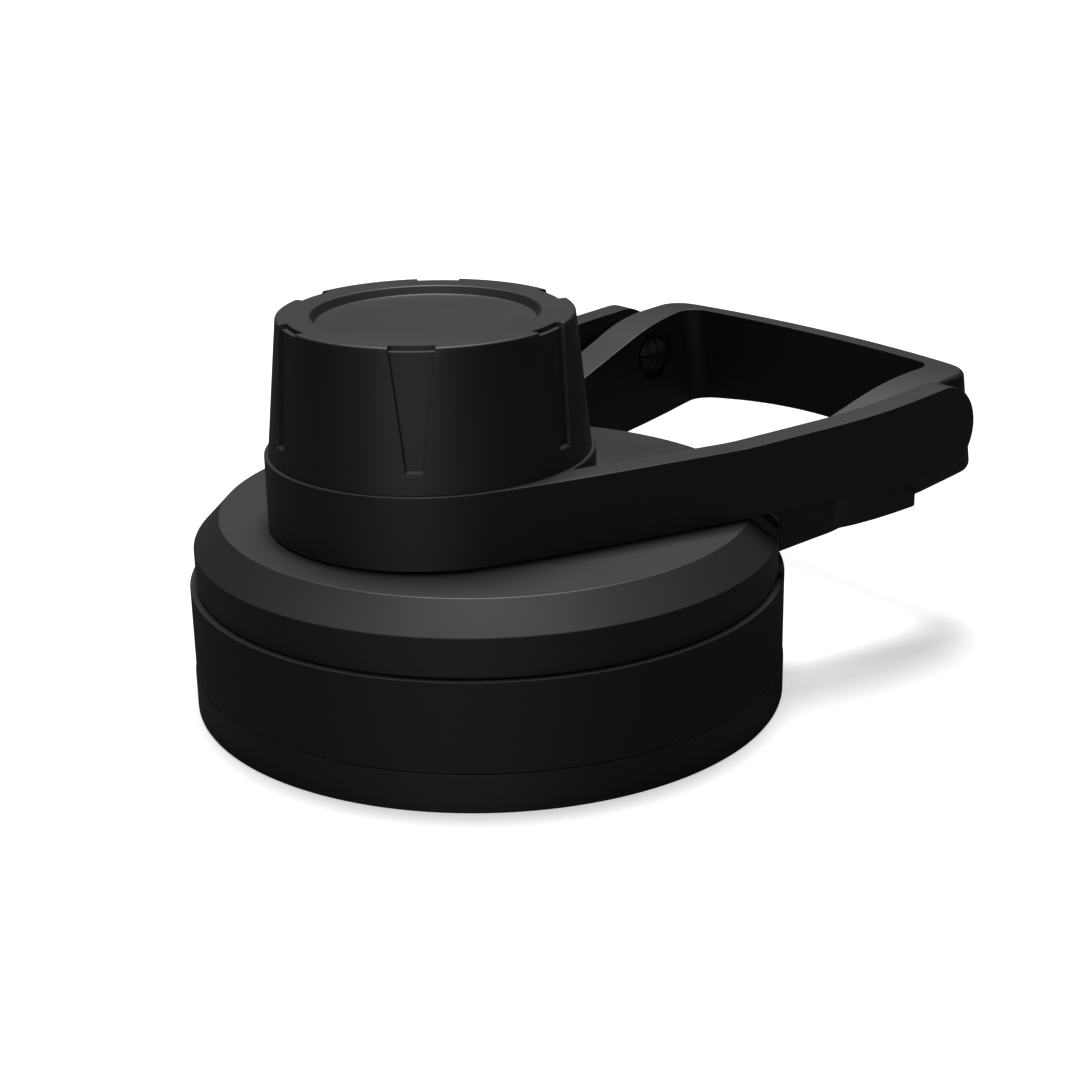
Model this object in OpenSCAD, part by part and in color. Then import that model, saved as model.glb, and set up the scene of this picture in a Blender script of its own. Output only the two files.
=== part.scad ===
// Screw lid for a wide-mouth drinking bottle, with a small screw cap over its spout.
// The spout cap turns in the ring of a yoke, and the yoke's two arms swing on the carry loop.
// Millimetres. The origin lies on the lid's axis in the plane of its bottom rim, +Z is up,
// and the carry loop reaches toward +X.

/* [Lid shell] */
// Radius of the wall above the grip band
lid_r = 32.3; // [31.5:0.1:36]
// Height of the flat top above the bottom rim
lid_h = 21.25; // [20.5:0.25:26]
// Thickness of the side wall
lid_wall = 2; // [1.6:0.1:2.4]
// Thickness of the flat top
lid_top_t = 1.9; // [1.4:0.1:2.6]
// Width of the bevel round the flat top
bevel_w = 3.5; // [2.5:0.1:4.5]
// Height of the same bevel
bevel_h = 2.8; // [2:0.1:3.6]
// Width of the smaller bevel on the raised rim at the foot of the carry loop
root_bevel_w = 1.9; // [1:0.1:2.4]
// Height of the same smaller bevel
root_bevel_h = 1.75; // [1:0.05:2]
// Half width of the raised rim where it starts
root_half_w = 23.9; // [22:0.1:25]
// Distance from the lid's axis at which the raised rim starts
root_x = 16.8; // [14:0.2:20]
// Outward slant of the raised rim's two ends in degrees
root_slant = 17.4; // [5:0.2:25]

/* [Grip band] */
// Height of the rubber band
band_h = 9.9; // [6:0.1:12]
// Thickness of the rubber band
band_t = 1.4; // [1:0.1:1.8]
// How far the band stands out past the wall above it
band_proud = 0.7; // [0.2:0.1:1]
// Bevel on the band's two outer edges
band_edge = 0.3; // [0.1:0.1:0.5]

/* [Threaded liner] */
// Height of the liner's rim that shows below the band
rim_h = 4.3; // [3:0.1:6]
// How far that rim stands out past the shell's wall
rim_proud = 0.8; // [0.2:0.1:1.2]
// Bevel on the rim's bottom edge
rim_edge = 0.4; // [0.2:0.1:0.8]
// Thickness of the wall that carries the bottle thread
neck_wall = 1.8; // [1.4:0.1:2.4]
// Height of that wall, from the bottom rim up to the gasket's seat
neck_bore_depth = 12.9; // [10:0.1:13.5]
// Thickness of the liner's ceiling
liner_top_t = 1.8; // [1.2:0.1:2.4]
// Width of the shoulder beside the gasket
gasket_shoulder = 0.5; // [0.3:0.1:1]
// Depth of the recess that holds the bottle gasket
gasket_recess = 1.7; // [1.2:0.1:2.2]
// Radial width of the bottle gasket
bottle_gasket_w = 3.4; // [2.4:0.1:4.4]

/* [Spout] */
// Distance of the spout's axis behind the lid's axis
spout_offset = 7.4; // [6:0.1:9]
// Radius of the opening that the drink flows through
spout_bore_r = 10.9; // [9:0.1:11.2]
// Thickness of the spout's wall
spout_wall = 1.9; // [1.4:0.1:2]
// Height of the spout above the flat top
spout_h = 15; // [13:0.25:15.5]

/* [Spout cap] */
// Outer radius at the cap's bottom edge
cap_base_r = 17.3; // [17:0.1:17.6]
// Outer radius at the cap's top
cap_top_r = 15.75; // [15.4:0.05:16.5]
// Height of the cap's outer shell
cap_h = 14.6; // [13.8:0.1:18]
// Rounding of the cap's top edge
cap_edge_r = 0.6; // [0.3:0.1:0.8]
// Radius of the dish in the cap's top
dish_r = 11.8; // [8:0.1:13]
// Depth of the same dish
dish_depth = 1.2; // [0.5:0.1:1.6]
// Thickness of the cap's ceiling under the dish
cap_ceiling_t = 1.5; // [1:0.1:1.8]
// Number of finger notches round the cap
notch_count = 6; // [3:1:10]
// Direction of the first finger notch in degrees
first_notch = 47.5; // [0:0.5:60]
// Width of a notch at the cap's top
notch_top_w = 4.7; // [2:0.1:6]
// Width of a notch at its foot
notch_foot_w = 1.7; // [1:0.1:3]
// Depth of a notch below the cap's side
notch_depth = 0.5; // [0.2:0.05:0.6]
// Height of a notch's foot above the cap's bottom edge
notch_foot_h = 2.5; // [1:0.1:6]
// Height and depth of the step at the top of each notch
notch_step = 0.5; // [0.2:0.05:0.8]

/* [Cap liner] */
// Thickness of the threaded sleeve inside the cap
sleeve_t = 1.3; // [0.9:0.1:1.4]
// Thickness of the disc that closes the sleeve
sleeve_top_t = 1.4; // [0.8:0.1:2]
// How far the sleeve's foot flange reaches out under the ring
foot_w = 1.25; // [0.8:0.05:1.4]
// Thickness of that foot flange
foot_t = 1.2; // [0.8:0.1:2]
// Thickness of the spout gasket
spout_gasket_t = 1.8; // [1:0.1:2.5]
// Radial width of the spout gasket
spout_gasket_w = 2.8; // [2:0.1:5]

/* [Yoke] */
// Outer radius of the ring that holds the cap
ring_r = 17.75; // [17.7:0.05:19]
// Height of the ring
ring_h = 7.9; // [7:0.1:9]
// Thickness of the arms
arm_t = 3.05; // [2.4:0.05:3.6]
// Distance from the lid's axis at which the arms turn parallel to each other
arm_parallel_x = 39.2; // [37:0.1:42]
// How much more an arm slants where it leaves the ring than the line from there to that place, in degrees
arm_root_turn = 4.8; // [3:0.1:8]
// Radius of the gentle curve where an arm leaves the ring
arm_root_r = 193; // [100:1:240]
// Radius of the curve that brings an arm parallel at the pivot
arm_end_blend_r = 52.6; // [30:0.2:70]
// Radius of the round end of an arm
arm_end_r = 5.1; // [4.6:0.1:5.5]
// Distance from the lid's axis at which both edges of the arms start to rise
arm_rise_x = 16; // [12:0.5:22]
// Distance from the lid's axis at which the arms' lower edge is highest
arm_dip_x = 29; // [26:0.5:34]
// How far that lower edge has risen there
arm_lift = 0.45; // [0.1:0.05:0.8]

/* [Pivot] */
// Distance of the pivot from the lid's axis
pivot_x = 44.1; // [43:0.1:47]
// Height of the pivot above the bottom rim
pivot_z = 26.5; // [26:0.1:28]
// Radius of the snap pin's shaft
pin_r = 2; // [1.6:0.05:2.2]
// How far the pin's head is wider than its shaft
pin_barb = 0.3; // [0.2:0.05:0.4]
// Height of the domed end of the head
pin_dome_h = 0.85; // [0.5:0.05:1.2]
// Length of the straight part of the head
pin_head_t = 0.4; // [0.3:0.05:1]
// Width of the two slots that split the pin into four prongs
pin_slot_w = 0.25; // [0.2:0.05:0.6]
// Length of the slots
pin_slot_l = 4.2; // [2:0.1:5]
// Radius of the round recess round the pin's head
recess_r = 3.25; // [2.8:0.05:4]
// Depth of that recess at the pivot
recess_depth = 1.1; // [0.8:0.1:2]

/* [Carry loop] */
// Distance from the lid's axis to the outside of the loop's far bar at its top edge
loop_reach = 55.2; // [54:0.1:60]
// Half of the loop's outer width
loop_half_w = 24.9; // [24.4:0.1:26]
// Thickness of a side bar at the pivot
side_t = 5.5; // [4.6:0.1:6]
// How far the loop's upright faces lean toward the lid at their top, in degrees
loop_lean = 9.5; // [0:0.5:12]
// Distance from the lid's axis at which the side bars' outer faces turn parallel
parallel_x = 43; // [41:0.1:44]
// Outward flare of the side bars' inner faces in degrees
inner_flare = 6; // [4:0.1:9]
// Thickness of the far bar
far_t = 2.6; // [1.8:0.05:3]
// Radius of the far bar's outer face
far_outer_r = 132; // [100:1:200]
// Radius of the far bar's inner face
far_inner_r = 150; // [90:1:180]
// Rounding of the loop's two inner corners
inner_corner_r = 2.2; // [1.5:0.1:3]
// Rounding of the loop's two outer corners
outer_corner_r = 4.2; // [2.5:0.1:5]
// Height of the loop's top edge above the pivot
loop_top_h = 4.95; // [4.8:0.05:6]
// Slope of the loop's upper edge where it climbs from the lid, in degrees
swoosh_slope = 19.3; // [17:0.1:24]
// Radius of the curve that brings the upper edge level
swoosh_r = 36.4; // [25:0.1:45]
// Distance from the lid's axis at which the upper edge is level
swoosh_end_x = 51.6; // [50:0.1:52]
// Depth of the loop's lower edge below the pivot
loop_low_drop = 8.6; // [7.8:0.1:9.5]
// Slope of the loop's lower edge in degrees
loop_low_slope = 6.2; // [4:0.1:7.5]
// Height of the arch under the far bar at its middle
arch_h = 1.3; // [0.5:0.1:3]
// Half width of that arch at its foot
arch_half_w = 19; // [12:0.1:19]

/* [Arm rests] */
// Distance from the lid's axis at which the rest under an arm starts
rest_x = 31.6; // [30:0.1:33]
// Distance from the lid's axis at which the rest's outer face bends
rest_bend_x = 35; // [34:0.1:38]
// Half width over the two rests at that bend
rest_bend_half_w = 25; // [24.5:0.1:25.5]
// Distance from the lid's axis at which the rest ends
rest_end_x = 41.9; // [38:0.1:43]
// Half width over the ends of the two rests
rest_half_w = 26.1; // [25.5:0.1:27.5]
// Radius of the relief round the pivot that trims the rest
rest_relief_r = 7.3; // [6.2:0.1:9]

/* [Clearances] */
// Height of the ring above the lid's flat top
ring_gap = 0.4; // [0.3:0.05:0.8]
// Seam between the ring and the cap's bottom edge
cap_seam = 0.1; // [0.05:0.05:0.5]
// Gap round parts that turn or swing against each other
running_gap = 0.3; // [0.2:0.05:0.4]
// Radial play of the pins in their holes
pin_play = 0.05; // [0.02:0.01:0.1]
// Radial room between the spout and the cap's sleeve
thread_gap = 0.95; // [0.9:0.05:1.2]
// Gap between moulded pieces that are pushed together and stay
push_gap = 0.1; // [0.05:0.05:0.2]

/* [Hidden] */
black = "#2a2c2b";
band_black = "#1f2422";
rubber = "#3a3d3c";
fine = 144;
arc_steps = 12;
cut = 0.5;

band_seat_r = lid_r + band_proud - band_t;
band_z = rim_h;
rim_r = lid_r + rim_proud;
shell_in_r = lid_r - lid_wall;
liner_r = shell_in_r - push_gap;
neck_bore_r = liner_r - neck_wall;
gasket_out_r = neck_bore_r - gasket_shoulder - push_gap;
liner_ceiling_z = neck_bore_depth + gasket_recess;
liner_top_z = liner_ceiling_z + liner_top_t;
gasket_z = neck_bore_depth + push_gap;

spout_x = -spout_offset;
spout_r = spout_bore_r + spout_wall;
spout_top_z = lid_h + spout_h;

sleeve_in_r = spout_r + thread_gap;
sleeve_r = sleeve_in_r + sleeve_t;
foot_r = sleeve_r + foot_w;
foot_z = lid_h + ring_gap + running_gap;
ring_z = lid_h + ring_gap;
ring_top_z = ring_z + ring_h;
ring_bore_r = sleeve_r + running_gap;
ring_recess_r = foot_r + running_gap;
ring_recess_top_z = foot_z + foot_t + running_gap;
cap_z = ring_top_z + cap_seam;
cap_top_z = cap_z + cap_h;
sleeve_ceiling_z = spout_top_z + running_gap + spout_gasket_t;
sleeve_top_z = sleeve_ceiling_z + sleeve_top_t;
cap_cavity_r = sleeve_r + push_gap;
cap_cavity_top_z = cap_top_z - dish_depth - cap_ceiling_t;
cap_lean = (cap_base_r - cap_top_r) / cap_h;

arm_in_y = loop_half_w + running_gap;
arm_out_y = arm_in_y + arm_t;
arm_top_z = pivot_z + arm_end_r;
arm_root_angle = atan2(arm_out_y - ring_r, arm_parallel_x - spout_x) + arm_root_turn;
arm_root = [spout_x - ring_r * sin(arm_root_angle), ring_r * cos(arm_root_angle)];
arm_root_centre = arm_root + arm_root_r * [sin(arm_root_angle), -cos(arm_root_angle)];
arm_end_centre = [arm_parallel_x, arm_out_y - arm_end_blend_r];
arm_span = arm_end_centre - arm_root_centre;
arm_angle = atan2(arm_span[1], arm_span[0]) + acos((arm_root_r - arm_end_blend_r) / norm(arm_span)) - 90;
arm_root_end = arm_root_centre + arm_root_r * [-sin(arm_angle), cos(arm_angle)];

hole_r = pin_r + pin_play;
head_r = pin_r + pin_barb;
wall_in_y = arm_in_y - running_gap - side_t;
recess_floor_y = wall_in_y + recess_depth;
head_y = recess_floor_y - running_gap;
head_end_y = head_y - pin_head_t;
dome_r = (head_r * head_r + pin_dome_h * pin_dome_h) / (2 * pin_dome_h);

loop_top_z = pivot_z + loop_top_h;
loop_start_x = 13;
past = 20;
swoosh_start = [swoosh_end_x - swoosh_r * sin(swoosh_slope), loop_top_z - swoosh_r * (1 - cos(swoosh_slope))];
// Where the loop's upper edge passes the underside of the arms, and the arms' inner face there
passing_x = swoosh_start[0] - (swoosh_start[1] - ring_z) / tan(swoosh_slope);
passing_y = arm_root_end[1] + tan(arm_angle) * (passing_x - arm_root_end[0]) - arm_t / cos(arm_angle);
outer_flare = atan((loop_half_w + running_gap - passing_y) / (parallel_x - passing_x));
reach = lean_x(loop_reach, loop_top_z);

rest_top_z = min(ring_z, pivot_z - arm_end_r) - running_gap;

// Position along the loop's own plane, which is square to its leaning faces
function lean_x(x, z) = pivot_x + (x - pivot_x) * cos(loop_lean) + (z - pivot_z) * sin(loop_lean);
function inner_y(x) = wall_in_y + tan(inner_flare) * (x - pivot_x);
function outer_y(x) = loop_half_w + tan(outer_flare) * min(x - parallel_x, 0);
function far_out_x(y) = reach - far_outer_r + sqrt(far_outer_r * far_outer_r - y * y);
function far_in_x(y) = reach - far_t - far_inner_r + sqrt(far_inner_r * far_inner_r - y * y);
function low_z(x) = pivot_z - loop_low_drop + tan(loop_low_slope) * (x - pivot_x);

// Points of an arc about a centre, from one direction to another
function arc(centre, r, from, to, steps = arc_steps) =
    [for (i = [0:steps]) let(a = from + (to - from) * i / steps) centre + r * [cos(a), sin(a)]];

// Points that round the corner b between a and c
function corner(a, b, c, r, steps = arc_steps) =
    let(
        u = (a - b) / norm(a - b),
        v = (c - b) / norm(c - b),
        half = acos(u * v) / 2,
        centre = b + (u + v) / norm(u + v) * r / sin(half),
        start = b + u * r / tan(half) - centre,
        end = b + v * r / tan(half) - centre,
        from = atan2(start[1], start[0]),
        turn = ((atan2(end[1], end[0]) - from + 540) % 360) - 180
    )
    arc(centre, r, from, from + turn, steps);

// The same points on the other side of the XZ plane, in the opposite order
function mirrored(points) = [for (i = [len(points) - 1:-1:0]) [points[i][0], -points[i][1]]];

// One edge of an arm seen from above, at a distance in from its outer face
function arm_edge(inset) =
    concat(
        arc(arm_root_centre, arm_root_r - inset, 90 + arm_root_angle, 90 + arm_angle, 6),
        arc(arm_end_centre, arm_end_blend_r - inset, 90 + arm_angle, 90, 10),
        [[pivot_x + 2 * arm_end_r, arm_out_y - inset]]
    );

// Extrudes an outline drawn in X and Z along Y, between y = -half and y = half
module across(half) {
    translate([0, half, 0])
        rotate([90, 0, 0])
            linear_extrude(2 * half) children();
}

// Lays what is drawn about the Z axis along Y at the pivot, with its foot at y = 0
module at_pivot() {
    translate([pivot_x, 0, pivot_z])
        rotate([-90, 0, 0]) children();
}

// Repeats the +Y side on the -Y side
module both_sides() {
    children();
    mirror([0, 1, 0]) children();
}

module lid_cup() {
    rotate_extrude($fn = fine)
        polygon([
            [0, rim_h],
            [band_seat_r, rim_h],
            [band_seat_r, rim_h + band_h],
            [lid_r, rim_h + band_h],
            [lid_r, lid_h - bevel_h],
            [lid_r - bevel_w, lid_h],
            [0, lid_h]
        ]);
}

module lid_hollow() {
    rotate_extrude($fn = fine)
        polygon([
            [0, rim_h - cut],
            [shell_in_r, rim_h - cut],
            [shell_in_r, lid_h - bevel_h - lid_top_t / 2],
            [shell_in_r - bevel_w + lid_top_t / 2, lid_h - lid_top_t],
            [0, lid_h - lid_top_t]
        ]);
}

// Part of the rim between the loop's side bars, where the bevel is smaller
module raised_rim() {
    slant = tan(root_slant);
    end_x = lid_r + cut;
    end_y = root_half_w + slant * (end_x - root_x);
    intersection() {
        rotate_extrude($fn = fine)
            polygon([
                [shell_in_r - bevel_w, lid_h - bevel_h],
                [lid_r, lid_h - bevel_h - cut],
                [lid_r, lid_h - root_bevel_h],
                [lid_r - root_bevel_w, lid_h],
                [shell_in_r - bevel_w, lid_h]
            ]);
        linear_extrude(lid_h + cut)
            polygon([[root_x, -root_half_w], [end_x, -end_y], [end_x, end_y], [root_x, root_half_w]]);
    }
}

// Carry loop seen from above
module loop_plan() {
    out_b = [far_out_x(loop_half_w), loop_half_w];
    out_y = loop_half_w - 2 * outer_corner_r;
    in_b = [far_in_x(inner_y(far_in_x(wall_in_y))), inner_y(far_in_x(wall_in_y))];
    in_y = in_b[1] - 2 * inner_corner_r;
    out_half = concat(
        [[loop_start_x, outer_y(loop_start_x)], [parallel_x, loop_half_w]],
        corner([parallel_x, loop_half_w], out_b, [far_out_x(out_y), out_y], outer_corner_r),
        [for (i = [0:arc_steps]) let(y = out_y * (1 - i / arc_steps)) [far_out_x(y), y]]
    );
    in_half = concat(
        [[loop_start_x, inner_y(loop_start_x)]],
        corner([pivot_x, inner_y(pivot_x)], in_b, [far_in_x(in_y), in_y], inner_corner_r),
        [for (i = [0:arc_steps]) let(y = in_y * (1 - i / arc_steps)) [far_in_x(y), y]]
    );
    difference() {
        polygon(concat(out_half, mirrored(out_half)));
        polygon(concat([[loop_start_x - cut, inner_y(loop_start_x - cut)]], in_half,
            mirrored(in_half), [[loop_start_x - cut, -inner_y(loop_start_x - cut)]]));
    }
}

// Carry loop seen from the side
module loop_side() {
    polygon(concat(
        [
            [loop_start_x, low_z(loop_start_x)],
            [loop_reach + past, low_z(loop_reach + past)],
            [loop_reach + past, loop_top_z]
        ],
        arc([swoosh_end_x, loop_top_z - swoosh_r], swoosh_r, 90, 90 + swoosh_slope),
        [[loop_start_x, swoosh_start[1] - tan(swoosh_slope) * (swoosh_start[0] - loop_start_x)]]
    ));
}

// Space under the arched lower edge of the far bar, which rises with the loop's lower edge
module loop_arch() {
    arch_r = (arch_half_w * arch_half_w + arch_h * arch_h) / (2 * arch_h);
    translate([pivot_x, 0, low_z(pivot_x)])
        rotate([0, 90 - loop_low_slope, 0])
            translate([arch_r - arch_h, 0, 0])
                cylinder(r = arch_r, h = 2 * past, $fn = fine);
}

// Rest that stands out of the loop's side bar under an arm
module arm_rest() {
    root = [rest_x, outer_y(lean_x(rest_x, low_z(rest_x)))];
    bend = [rest_bend_x, rest_bend_half_w];
    tip = [rest_end_x, rest_half_w];
    core = [0, side_t / 2];
    ramp = [for (i = [0:arc_steps]) let(t = i / arc_steps)
        (1 - t) * (1 - t) * root + 2 * t * (1 - t) * bend + t * t * tip];
    difference() {
        intersection() {
            linear_extrude(rest_top_z)
                polygon(concat(ramp, [tip - core, root - core]));
            across(loop_half_w + past)
                polygon([
                    [rest_x - cut, low_z(rest_x - cut)],
                    [rest_end_x + cut, low_z(rest_end_x + cut)],
                    [rest_end_x + cut, rest_top_z],
                    [rest_x - cut, rest_top_z]
                ]);
        }
        at_pivot()
            cylinder(r = rest_relief_r, h = loop_half_w + past, $fn = fine);
    }
}

// Leans what stands upright about the pivot, so that its top moves toward the lid
module leaning() {
    translate([pivot_x, 0, pivot_z])
        rotate([0, -loop_lean, 0])
            translate([-pivot_x, 0, -pivot_z]) children();
}

module carry_loop() {
    difference() {
        intersection() {
            leaning()
                linear_extrude(loop_top_z + past) loop_plan();
            across(loop_half_w + cut) loop_side();
        }
        loop_arch();
    }
    both_sides() arm_rest();
}

// Hole and recess for one snap pin
module pin_hole() {
    at_pivot() {
        cylinder(r = hole_r, h = loop_half_w + cut, $fn = fine);
        cylinder(r = recess_r, h = recess_floor_y, $fn = fine);
    }
}

module lid_shell() {
    color(black)
        difference() {
            union() {
                lid_cup();
                raised_rim();
                carry_loop();
            }
            lid_hollow();
            translate([spout_x, 0, 0])
                cylinder(r = spout_r + push_gap, h = lid_h + cut, $fn = fine);
            both_sides() pin_hole();
        }
}

module grip_band() {
    out_r = lid_r + band_proud;
    top_z = rim_h + band_h - push_gap / 2;
    color(band_black)
        rotate_extrude($fn = fine)
            polygon([
                [band_seat_r + push_gap / 2, rim_h],
                [out_r - band_edge, rim_h],
                [out_r, rim_h + band_edge],
                [out_r, top_z - band_edge],
                [out_r - band_edge, top_z],
                [band_seat_r + push_gap / 2, top_z]
            ]);
}

module lid_liner() {
    color(black)
        difference() {
            union() {
                rotate_extrude($fn = fine)
                    polygon([
                        [0, 0],
                        [rim_r - rim_edge, 0],
                        [rim_r, rim_edge],
                        [rim_r, rim_h],
                        [liner_r, rim_h],
                        [liner_r, liner_top_z],
                        [0, liner_top_z]
                    ]);
                translate([spout_x, 0, 0])
                    spout_tube();
            }
            translate([0, 0, -cut])
                cylinder(r = neck_bore_r, h = neck_bore_depth + cut, $fn = fine);
            translate([0, 0, neck_bore_depth - cut])
                cylinder(r = neck_bore_r - gasket_shoulder, h = gasket_recess + cut, $fn = fine);
            translate([spout_x, 0, liner_ceiling_z - cut])
                cylinder(r = spout_bore_r, h = spout_top_z, $fn = fine);
        }
}

// Spout with a rounded lip, about its own axis
module spout_tube() {
    lip = spout_wall / 3;
    rotate_extrude($fn = fine)
        polygon(concat(
            [[0, liner_ceiling_z], [spout_r, liner_ceiling_z]],
            arc([spout_r - lip, spout_top_z - lip], lip, 0, 90, 6),
            [[0, spout_top_z]]
        ));
}

// Flat sealing ring: outer radius, radial width, height of its underside, thickness
module seal(out_r, width, z, thickness) {
    translate([0, 0, z])
        difference() {
            cylinder(r = out_r, h = thickness, $fn = fine);
            translate([0, 0, -cut])
                cylinder(r = out_r - width, h = thickness + 2 * cut, $fn = fine);
        }
}

module bottle_gasket() {
    color(rubber)
        seal(gasket_out_r, bottle_gasket_w, gasket_z, liner_ceiling_z - gasket_z);
}

// Arm seen from the side: level, then rising toward a round end
module arm_side() {
    dip = [arm_dip_x, ring_z + arm_lift];
    rise = [arm_rise_x, ring_top_z];
    pivot = [pivot_x, pivot_z];
    // Directions from the pivot to the two points where the straight edges meet the round end
    top_angle = atan2(rise[1] - pivot[1], rise[0] - pivot[0]) - acos(arm_end_r / norm(rise - pivot));
    low_angle = atan2(dip[1] - pivot[1], dip[0] - pivot[0]) + acos(arm_end_r / norm(dip - pivot));
    polygon([
        [spout_x, ring_z],
        [arm_rise_x, ring_z],
        dip,
        pivot + arm_end_r * [cos(low_angle), sin(low_angle)],
        pivot,
        pivot + arm_end_r * [cos(top_angle), sin(top_angle)],
        rise,
        [spout_x, ring_top_z]
    ]);
    translate(pivot) circle(r = arm_end_r, $fn = fine);
    translate([spout_x - ring_r, ring_z]) square([ring_r, ring_h]);
}

module arm() {
    inner = arm_edge(arm_t);
    intersection() {
        linear_extrude(arm_top_z + cut)
            polygon(concat(arm_edge(0), [for (i = [len(inner) - 1:-1:0]) inner[i]]));
        across(arm_out_y + cut) arm_side();
    }
}

// Split pin that snaps through the loop's side bar
module snap_pin() {
    difference() {
        at_pivot() {
            translate([0, 0, head_y - cut])
                cylinder(r = pin_r, h = arm_in_y - head_y + 2 * cut, $fn = fine);
            intersection() {
                translate([0, 0, head_end_y - pin_dome_h])
                    cylinder(r = head_r, h = pin_dome_h + pin_head_t, $fn = fine);
                translate([0, 0, head_end_y - pin_dome_h + dome_r])
                    sphere(r = dome_r, $fn = fine);
            }
        }
        translate([pivot_x, head_end_y - pin_dome_h, pivot_z]) {
            translate([-pin_slot_w / 2, -cut, -recess_r])
                cube([pin_slot_w, pin_slot_l + cut, 2 * recess_r]);
            translate([-recess_r, -cut, -pin_slot_w / 2])
                cube([2 * recess_r, pin_slot_l + cut, pin_slot_w]);
        }
    }
}

module yoke() {
    color(black) {
        difference() {
            union() {
                translate([spout_x, 0, ring_z])
                    cylinder(r = ring_r, h = ring_h, $fn = fine);
                both_sides() arm();
            }
            translate([spout_x, 0, ring_z - cut]) {
                cylinder(r = ring_bore_r, h = ring_h + 2 * cut, $fn = fine);
                cylinder(r = ring_recess_r, h = ring_recess_top_z - ring_z + cut, $fn = fine);
            }
        }
        both_sides() snap_pin();
    }
}

// Cone that runs parallel to the cap's side, a little inside it
module inner_cone(inset) {
    translate([0, 0, cap_z - cut])
        cylinder(r1 = cap_base_r - inset + cap_lean * cut, r2 = cap_top_r - inset - cap_lean * cut,
            h = cap_h + 2 * cut, $fn = fine);
}

// Wedge-shaped space of one notch, open to +X
module notch_wedge() {
    foot_z = cap_z + notch_foot_h;
    widen = (notch_top_w - notch_foot_w) / 2 / (cap_top_z - foot_z);
    rotate([90, 0, 90])
        linear_extrude(2 * cap_base_r)
            polygon([
                [-notch_foot_w / 2, foot_z],
                [notch_foot_w / 2, foot_z],
                [notch_top_w / 2 + widen * cut, cap_top_z + cut],
                [-notch_top_w / 2 - widen * cut, cap_top_z + cut]
            ]);
}

module finger_notches() {
    for (i = [0:notch_count - 1])
        rotate([0, 0, first_notch + 360 * i / notch_count])
            difference() {
                notch_wedge();
                difference() {
                    inner_cone(notch_depth);
                    difference() {
                        translate([0, 0, cap_top_z - notch_step])
                            cylinder(r = 2 * cap_base_r, h = notch_step + 2 * cut, $fn = fine);
                        inner_cone(notch_depth + notch_step);
                    }
                }
            }
}

module cap_shell() {
    dish_z = cap_top_z - dish_depth;
    color(black)
        translate([spout_x, 0, 0])
            difference() {
                rotate_extrude($fn = fine)
                    polygon(concat(
                        [[0, cap_z], [cap_base_r, cap_z]],
                        arc([cap_top_r - cap_edge_r, cap_top_z - cap_edge_r], cap_edge_r, 0, 90, 6),
                        arc([dish_r + cap_edge_r, cap_top_z - cap_edge_r], cap_edge_r, 90, 180, 6),
                        arc([dish_r - cap_edge_r / 2, dish_z + cap_edge_r / 2], cap_edge_r / 2, 0, -90, 4),
                        [[0, dish_z]]
                    ));
                finger_notches();
                translate([0, 0, cap_z - cut])
                    cylinder(r = cap_cavity_r, h = sleeve_top_z - cap_z + cut, $fn = fine);
                translate([0, 0, sleeve_top_z - cut])
                    cylinder(r = sleeve_in_r, h = cap_cavity_top_z - sleeve_top_z + cut, $fn = fine);
            }
}

module cap_liner() {
    color(black)
        translate([spout_x, 0, 0])
            rotate_extrude($fn = fine)
                polygon([
                    [sleeve_in_r, foot_z],
                    [foot_r, foot_z],
                    [foot_r, foot_z + foot_t],
                    [sleeve_r, foot_z + foot_t],
                    [sleeve_r, sleeve_top_z],
                    [0, sleeve_top_z],
                    [0, sleeve_ceiling_z],
                    [sleeve_in_r, sleeve_ceiling_z]
                ]);
}

module cap_gasket() {
    color(rubber)
        translate([spout_x, 0, 0])
            seal(sleeve_in_r - push_gap, spout_gasket_w, sleeve_ceiling_z - spout_gasket_t, spout_gasket_t);
}

lid_shell();
grip_band();
lid_liner();
bottle_gasket();
yoke();
cap_shell();
cap_liner();
cap_gasket();
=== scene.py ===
"""Looks of a wide-mouth bottle lid with a swing-over spout cap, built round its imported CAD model.

Lengths in the building code are millimetres, in the CAD's frame: +Z up along the bottle's axis,
+X toward the carry loop, the origin in the plane of the bottom rim.
"""
import math

import bmesh
import bpy
from mathutils import Matrix, Vector


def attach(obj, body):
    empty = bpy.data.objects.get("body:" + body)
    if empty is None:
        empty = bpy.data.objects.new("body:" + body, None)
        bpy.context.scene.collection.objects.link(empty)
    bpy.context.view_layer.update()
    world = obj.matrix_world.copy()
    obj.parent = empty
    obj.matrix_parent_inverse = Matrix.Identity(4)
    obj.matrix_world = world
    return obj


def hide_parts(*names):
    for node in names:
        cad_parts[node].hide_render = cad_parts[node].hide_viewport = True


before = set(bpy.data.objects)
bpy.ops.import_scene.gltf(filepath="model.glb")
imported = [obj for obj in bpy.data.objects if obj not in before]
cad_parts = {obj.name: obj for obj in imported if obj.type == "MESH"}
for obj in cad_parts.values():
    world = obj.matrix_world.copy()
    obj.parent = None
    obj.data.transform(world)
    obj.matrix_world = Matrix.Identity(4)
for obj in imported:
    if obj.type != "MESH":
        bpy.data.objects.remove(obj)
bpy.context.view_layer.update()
MM = 0.001
TURN = 2 * math.pi

# Rounding of the moulded edges that look sharp
EDGE_R = 0.12

# Sizes repeated from the CAD, apart from the lid's height and bevel, which were measured again

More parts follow.
